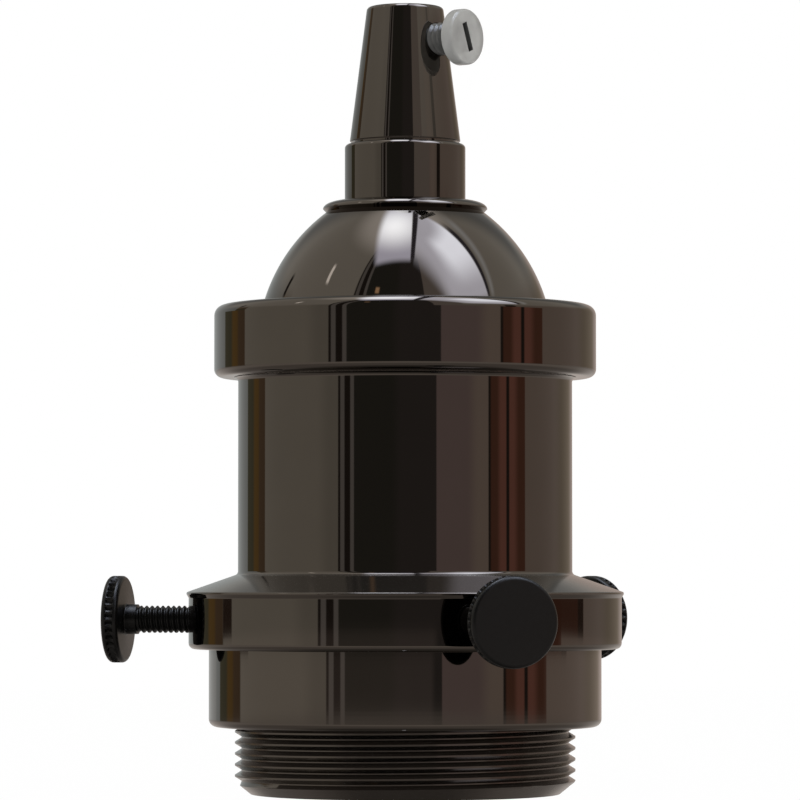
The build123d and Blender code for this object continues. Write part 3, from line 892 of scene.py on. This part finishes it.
def make_thumb_screw(name, azimuth, size):
    """Threaded shank, plain neck and a flat head with a knurled rim."""
    shoulder = size.tip + size.shank_length
    under = shoulder + size.neck_length
    top = under + size.head_height
    root = size.shank_radius - size.thread_depth
    knurl = under + size.inner_rim
    rim = size.head_radius
    tip_radius = size.shank_radius - size.tip_chamfer
    in_shank = tapered(size.tip, tip_radius, shoulder, root)
    shank = thread(size.tip, shoulder, root, size.shank_radius, size.pitch, in_shank)

    def section(share):
        tooth = 2 * abs((share * size.knurl_teeth) % 1 - 0.5)
        reach = rim - size.knurl_depth * (1 - tooth)
        head = rounded(
            (size.neck_radius, shoulder),
            (size.neck_radius, under, FINE_EDGE),
            (rim, under, size.face_bevel),
            (rim, knurl),
            (reach, knurl + size.knurl_depth / 2),
            (reach, knurl + size.knurl_width - size.knurl_depth / 2),
            (rim, knurl + size.knurl_width),
            (rim, top, size.face_bevel),
            (0.0, top),
        )
        return [(0.0, size.tip)] + shank(share) + head

    segments = TOOTH_TURN * size.knurl_teeth
    return turned("black_" + name, section, segments, radial(azimuth, size.height))


def make_sleeve(size):
    """Brass sleeve with the lamp's rolled thread and a flange at its root."""
    major = SLEEVE_RADIUS - size.sheet
    flange = SLEEVE_TOP - size.sheet
    rolled = size.turns * size.pitch
    rows = size.turns * size.rows

    def wall(share, outwards):
        points = []
        for row in range(rows + 1):
            height = rolled * row / rows
            fade = min(1.0, (rolled - height) / (size.pitch / 2))
            wave = (1 + math.cos(2 * math.pi * (height / size.pitch - share))) / 2
            points.append((major - size.wave * wave * fade + outwards, SLEEVE_BOTTOM + height))
        return points

    def section(share):
        root = [
            (major, flange - size.sheet),
            (major - size.sheet, flange),
            (size.hole_radius, flange),
            (size.hole_radius, SLEEVE_TOP),
            (SLEEVE_RADIUS, SLEEVE_TOP),
        ]
        return wall(share, 0) + root + wall(share, size.sheet)[::-1]

    return turned("brass_lamp_sleeve", section, SLEEVE_TURN)


class LAMPHOLDER_OT_shell(Operator):
    """Turn the shell with its threaded nose and gallery"""

    bl_idname = "lamp_holder.shell"
    bl_label = "Shell"

    def execute(self, context):
        finished(make_shell(sizes("shell")), shell_black_nickel, "holder", "shell")
        return {"FINISHED"}


class LAMPHOLDER_OT_cap(Operator):
    """Turn the cap with its collar, dome and neck"""

    bl_idname = "lamp_holder.cap"
    bl_label = "Cap"

    def execute(self, context):
        finished(make_cap(sizes("cap")), black_nickel, "cap_assembly", "cap")
        return {"FINISHED"}


class LAMPHOLDER_OT_shade_ring(Operator):
    """Turn the shade ring"""

    bl_idname = "lamp_holder.shade_ring"
    bl_label = "Shade Ring"

    def execute(self, context):
        finished(make_ring(sizes("ring")), black_nickel, "shade_ring", "shade_ring")
        return {"FINISHED"}


class LAMPHOLDER_OT_cord_grip(Operator):
    """Make the cord grip and its clear clamp screw"""

    bl_idname = "lamp_holder.cord_grip"
    bl_label = "Cord Grip"

    def execute(self, context):
        size = sizes("grip")
        finished(make_grip(size), black_nickel, "cap_assembly", "cord_grip")
        screw = make_grip_screw(size)
        finished(screw, clear_plastic, "cord_grip_screw", "cord_grip_screw")
        shade_core(screw, size)
        return {"FINISHED"}


class LAMPHOLDER_OT_thumb_screws(Operator):
    """Make the three knurled thumb screws"""

    bl_idname = "lamp_holder.thumb_screws"
    bl_label = "Thumb Screws"

    def execute(self, context):
        for node, azimuth in thumb_azimuths().items():
            screw = make_thumb_screw(node, azimuth, sizes("thumb"))
            finished(screw, screw_black, node, node)
        return {"FINISHED"}


class LAMPHOLDER_OT_lamp_sleeve(Operator):
    """Roll the brass sleeve that the lamp screws into"""

    bl_idname = "lamp_holder.lamp_sleeve"
    bl_label = "Lamp Sleeve"

    def execute(self, context):
        finished(make_sleeve(sizes("sleeve")), brass_sheet, "holder", "screw_shell")
        return {"FINISHED"}


ZINC_NODES = (
    "nipple",
    "nipple_locknut",
    "lock_washer",
    "earth_tag",
    "earth_screw",
    "live_terminal_screw",
    "neutral_terminal_screw",
)
BRASS_NODES = (
    "centre_contact",
    "live_terminal",
    "neutral_terminal",
    "centre_rivet",
    "neutral_rivet",
    "shell_rivet",
)


class LAMPHOLDER_OT_inside_finishes(Operator):
    """Give the pieces inside the holder their finishes"""

    bl_idname = "lamp_holder.inside_finishes"
    bl_label = "Inside Finishes"

    def execute(self, context):
        finishes = {
            glazed_porcelain: ("porcelain_core",),
            zinc_plate: ZINC_NODES,
            brass_sheet: BRASS_NODES,
        }
        for build, nodes in finishes.items():
            for node in nodes:
                dress(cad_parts[node].data, build)
        return {"FINISHED"}


# Studio


class StudioSky:
    """The world's nodes: plain light for matt surfaces, and panels that the plating mirrors."""

    def __init__(self, tree, panels):
        self.tree = tree
        self.panels = panels
        tree.nodes.clear()
        direction = add_node(tree, "TexCoord", {}).outputs["Generated"]
        right, back, up = add_node(tree, "SeparateXYZ", {0: direction}).outputs
        front = self.compute("MULTIPLY", back, -1.0)
        self.azimuth = self.compute("MULTIPLY", self.compute("ARCTAN2", right, front), 180 / math.pi)
        self.elevation = self.compute("MULTIPLY", self.compute("ARCSINE", up), 180 / math.pi)
        # place on a flat ceiling one unit above the holder
        rise = self.compute("MAXIMUM", up, 0.05)
        self.across = self.compute("DIVIDE", right, rise)
        self.ahead = self.compute("DIVIDE", front, rise)

    def compute(self, operation, *values):
        """A sum with numbers or outputs of nodes."""
        return add_node(self.tree, "Math", dict(enumerate(values)), operation=operation).outputs[0]

    def outside(self, share):
        """What a share leaves of 1."""
        return self.compute("SUBTRACT", 1.0, share)

    def ramp(self, value, start, end):
        """0 at one value and 1 at the other, level beyond both."""
        return map_range(self.tree, value, start, end, interpolation_type="SMOOTHSTEP")

    def step(self, value, place, soft):
        """0 before a place and 1 after it, over a soft edge."""
        return self.ramp(value, place - soft, place + soft)

    def within(self, value, low, high, soft):
        """1 between two places, with soft edges."""
        return self.compute("SUBTRACT", self.step(value, low, soft), self.step(value, high, soft))

    def sector(self, start, end, soft):
        """1 between two azimuths, in degrees."""
        return self.within(self.azimuth, start, end, soft)

    def rise(self, start, end):
        """0 at one elevation and 1 at the other, in degrees."""
        return self.ramp(self.elevation, start, end)

    def leaning(self, value, lean, other):
        """A value plus a share of another, for edges that run askew."""
        return self.compute("ADD", value, self.compute("MULTIPLY", other, lean))

    def near(self, across, ahead, wide, deep):
        """1 at a place on the ceiling, falling to 0 at the edge of an oval round it."""
        sideways = self.compute("MULTIPLY", self.compute("SUBTRACT", self.across, across), 1 / wide)
        forwards = self.compute("MULTIPLY", self.compute("SUBTRACT", self.ahead, ahead), 1 / deep)
        squares = [self.compute("POWER", distance, 2) for distance in (sideways, forwards)]
        return self.ramp(self.compute("SQRT", self.compute("ADD", *squares)), 1, 0)

    def paint(self, shade, *shares, how="MIX"):
        """Lays a colour over the panels, by the product of some shares."""
        product = shares[0]
        for share in shares[1:]:
            product = self.compute("MULTIPLY", product, share)
        self.panels = blended(self.tree, product, self.panels, shade, how)

    def background(self, shade, strength=1.0):
        """Light of a colour."""
        return add_node(self.tree, "Background", {"Color": shade, "Strength": strength}).outputs[0]

    def choose(self, share, under, over):
        """One light or the other by a share."""
        return add_node(self.tree, "MixShader", {0: share, 1: under, 2: over}).outputs[0]


def panel_starts(look):
    """Panels round the horizon: the azimuth in degrees at which each starts, its soft edge, its colour."""
    return (
        (-138.8, 0.6, look.olive_gap),
        (-128.0, 2.0, look.amber_card),
        (-120.5, 1.5, look.brown_gap),
        (-112.4, 0.5, look.left_card),
        (-58.0, 6.0, scaled(look.left_card, 0.82)),
        (-46.6, 0.35, look.gap),
        (-45.0, 0.35, look.strip),
        (-42.0, 0.35, look.gap),
        (-37.8, 0.35, look.strip),
        (-35.2, 0.35, look.front_flag),
        (-6.0, 4.0, look.flag_end),
        (21.2, 0.35, look.right_card),
        (47.0, 5.0, look.warm_card),
        (58.8, 0.5, look.gap),
        (60.6, 0.8, look.dark_red),
        (67.2, 2.0, look.light_red),
        (73.3, 0.6, look.gap),
        (75.8, 0.6, look.light_red),
        (82.0, 3.0, look.dark_red),
        (90.2, 0.4, look.far_card),
        (130.0, 8.0, look.rear_card),
        (157.0, 5.0, look.far_card),
    )


def paint_horizon(sky, look):
    """Panels round the horizon."""
    for start, soft, shade in panel_starts(look):
        sky.paint(shade, sky.step(sky.azimuth, start, soft))
    # dark things on the table at both sides, just under the horizon
    low = sky.within(sky.elevation, -0.93, -0.1, 0.03)
    sky.paint(look.low_dark, low, sky.sector(-112.4, -104.4, 0.4))
    sky.paint(scaled(look.dark_red, 0.7), low, sky.sector(75.8, 108.4, 0.4))
    sky.paint(look.low_dark, low, sky.sector(103.6, 108.4, 0.4))


def paint_table(sky, look):
    """The table, from its lit edge, which two places lack, down to the holder's foot."""
    unlit = sky.compute("ADD", sky.sector(-146, -111.5, 0.5), sky.sector(16, 89, 2))
    sky.paint(look.table_edge, sky.outside(unlit), sky.rise(-0.86, -1.0), how="ADD")
    sky.paint(look.table_sheen, sky.compute("MULTIPLY", sky.rise(-1.88, -2.05), 0.7))
    sky.paint(look.far_table, sky.rise(-4, -9))
    sky.paint(look.below, sky.rise(-14, -32))
    sky.paint(look.under, sky.rise(-48, -70))


def paint_upper(sky, look):
    """Walls above the panels; the flag and its strips reach up between them."""
    above = sky.rise(3.9, 4.9)
    sky.paint(look.sheet, above, sky.sector(-140.5, -124, 0.6))
    sky.paint(look.olive_gap, above, sky.sector(-124, -113.2, 0.5), sky.rise(14, 9))
    sky.paint(look.far_card, above, sky.sector(58.8, 91.5, 0.8))
    sky.paint(look.gap, above, sky.sector(62.5, 70, 0.8))
    sky.paint(look.neck_card, above, sky.sector(17, 47, 0.4))
    raised = sky.rise(12, 26)
    sky.paint(look.upper_wall, raised, sky.outside(sky.sector(-46.6, 36, 1)))
    sky.paint(look.rear_wall, raised, sky.outside(sky.sector(-146, 140, 12)))
    # slanting slit of daylight, a dark post beside it and a small lamp in the flag
    slit = sky.within(sky.leaning(sky.azimuth, 0.374, sky.elevation), -66.6, -63.6, 0.5)
    sky.paint(look.slit, slit, sky.within(sky.elevation, 36, 46, 1.5))
    sky.paint(look.gap, sky.sector(-126, -122.6, 0.6), sky.within(sky.elevation, 19, 27, 1.5))
    sky.paint(look.spot, sky.sector(-27.5, -24, 0.8), sky.within(sky.elevation, 36, 40, 0.8))
    sky.paint(look.ceiling, sky.rise(58, 74))


def paint_lamps(sky, look):
    """Softbox and bright panel overhead, with dark bars between and behind them."""
    flag_top = sky.outside(sky.step(sky.ahead, 0.56, 0.07))
    left_side = sky.step(sky.leaning(sky.across, 0.29, sky.ahead), -0.25, 0.05)
    softbox = blended(sky.tree, sky.near(-0.1, 0.0, 0.42, 0.48), look.softbox_edge, look.softbox)
    right_side = sky.ramp(sky.across, 0.08, 0.06)
    sky.paint(softbox, left_side, flag_top, right_side, sky.ramp(sky.ahead, -0.9, -0.2))
    low = sky.rise(24, 32)
    rear_line = sky.leaning(sky.ahead, -0.39, sky.across)
    front_edge = sky.ramp(sky.leaning(sky.ahead, -0.9, sky.across), 0.6, 0.1)
    height = sky.compute("MULTIPLY", sky.rise(34, 58), sky.rise(77, 65))
    streak = sky.compute("MULTIPLY", sky.ramp(sky.azimuth, 40, 64), height)
    window = blended(sky.tree, streak, look.window_edge, look.window)
    sky.paint(window, sky.step(sky.across, 0.11, 0.01), front_edge, sky.step(rear_line, -0.28, 0.03), low)
    outer = sky.ramp(sky.across, 0.3, 0.5)
    sky.paint(look.window_rim, outer, sky.within(rear_line, -0.52, -0.42, 0.06), low)
    sky.paint(look.bar, outer, sky.within(rear_line, -0.36, -0.28, 0.02), low)
    sky.paint(look.bar, sky.within(sky.across, 0.07, 0.12, 0.008), flag_top)


def make_sky(look):
    """World whose panels only the plating sees. All else is lit evenly, before a white background."""
    world = bpy.data.worlds.new("studio")
    bpy.context.scene.world = world
    world.use_nodes = True
    sky = StudioSky(world.node_tree, look.sheet)
    for paint in (paint_horizon, paint_table, paint_upper, paint_lamps):
        paint(sky, look)
    paths = add_node(sky.tree, "LightPath", {}).outputs
    white = sky.background((1, 1, 1))
    fill = sky.background((1, 1, 1), look.fill)
    light = sky.choose(paths["Is Glossy Ray"], fill, sky.background(sky.panels))
    seen = sky.compute("MAXIMUM", paths["Is Camera Ray"], paths["Is Transmission Ray"])
    add_node(sky.tree, "OutputWorld", {"Surface": sky.choose(seen, light, white)})


def pale_floor(tree, shader):
    """Matt floor that the camera sees nearly white, with the holder's shadow."""
    look = sizes("studio")
    wire(tree, shader, {"Base Color": look.floor, "Roughness": 0.9, "Specular IOR Level": 0.1})
    seen = add_node(tree, "LightPath", {}).outputs["Is Camera Ray"]
    share = add_node(tree, "Math", {0: seen, 1: look.floor_glow}, operation="MULTIPLY").outputs[0]
    glow = add_node(tree, "Emission", {}).outputs[0]
    blend = add_node(tree, "MixShader", {0: share, 1: shader.outputs[0], 2: glow})
    wire(tree, tree.nodes["Material Output"], {"Surface": blend.outputs[0]})


def make_floor(look):
    """Pale round floor."""
    work = bmesh.new()
    bmesh.ops.create_circle(work, cap_ends=True, segments=FINE_TURN, radius=look.floor_radius)
    floor = from_work("floor", work)
    floor.data.materials.append(finish(pale_floor))
    floor.visible_glossy = False


def aimed(name, data, place, aim):
    """A lamp or camera that looks at a point."""
    thing = in_scene(name, data)
    thing.location = place
    thing.rotation_euler = (Vector(aim) - Vector(place)).to_track_quat("-Z", "Y").to_euler()
    return thing


def make_lamp(name, place, power):
    """Soft square lamp aimed at the holder."""
    data = bpy.data.lights.new(name, "AREA")
    data.size = LAMP_SIZE
    data.energy = power
    aimed(name, data, place, LAMP_AIM).visible_glossy = False


def make_camera(look):
    """Camera at the photograph's viewing angle."""
    data = bpy.data.cameras.new("camera")
    data.lens = look.lens
    data.clip_start = CLIP_START
    bpy.context.scene.camera = aimed("camera", data, look.camera_place, look.camera_aim)


class LAMPHOLDER_OT_stage(Operator):
    """Set up the floor, the light and the camera"""

    bl_idname = "lamp_holder.stage"
    bl_label = "Stage"

    def execute(self, context):
        look = sizes("studio")
        make_sky(look)
        make_floor(look)
        for name, place, power in LAMPS:
            make_lamp(name, place, power)
        make_camera(look)
        context.scene.view_settings.view_transform = "Standard"
        return {"FINISHED"}


OPERATORS = (
    LAMPHOLDER_OT_shell,
    LAMPHOLDER_OT_cap,
    LAMPHOLDER_OT_shade_ring,
    LAMPHOLDER_OT_cord_grip,
    LAMPHOLDER_OT_thumb_screws,
    LAMPHOLDER_OT_lamp_sleeve,
    LAMPHOLDER_OT_inside_finishes,
    LAMPHOLDER_OT_stage,
)


class LAMPHOLDER_PT_panel(Panel):
    """Lists the steps that build the lamp holder and its sizes"""

    bl_label = "Lamp Holder"
    bl_idname = "LAMPHOLDER_PT_panel"
    bl_space_type = "VIEW_3D"
    bl_region_type = "UI"
    bl_category = "Lamp Holder"

    def draw(self, context):
        for operator in OPERATORS:
            self.layout.operator(operator.bl_idname)
        for group, kind in GROUPS.items():
            box = self.layout.box()
            box.label(text=kind.__doc__)
            for name in kind.__annotations__:
                box.prop(sizes(group), name)


def register():
    """Registers the classes and hangs the property groups on the scene."""
    for kind in (*GROUPS.values(), *OPERATORS, LAMPHOLDER_PT_panel):
        bpy.utils.register_class(kind)
    for group, kind in GROUPS.items():
        setattr(bpy.types.Scene, "lamp_holder_" + group, PointerProperty(type=kind))


def unregister():
    """Takes the property groups and the classes away again."""
    for group in GROUPS:
        delattr(bpy.types.Scene, "lamp_holder_" + group)
    for kind in (LAMPHOLDER_PT_panel, *reversed(OPERATORS), *reversed(GROUPS.values())):
        bpy.utils.unregister_class(kind)


def main():
    """Builds the holder and its stage."""
    register()
    for operator in OPERATORS:
        category, name = operator.bl_idname.split(".")
        getattr(getattr(bpy.ops, category), name)()


if __name__ == "__main__":
    main()
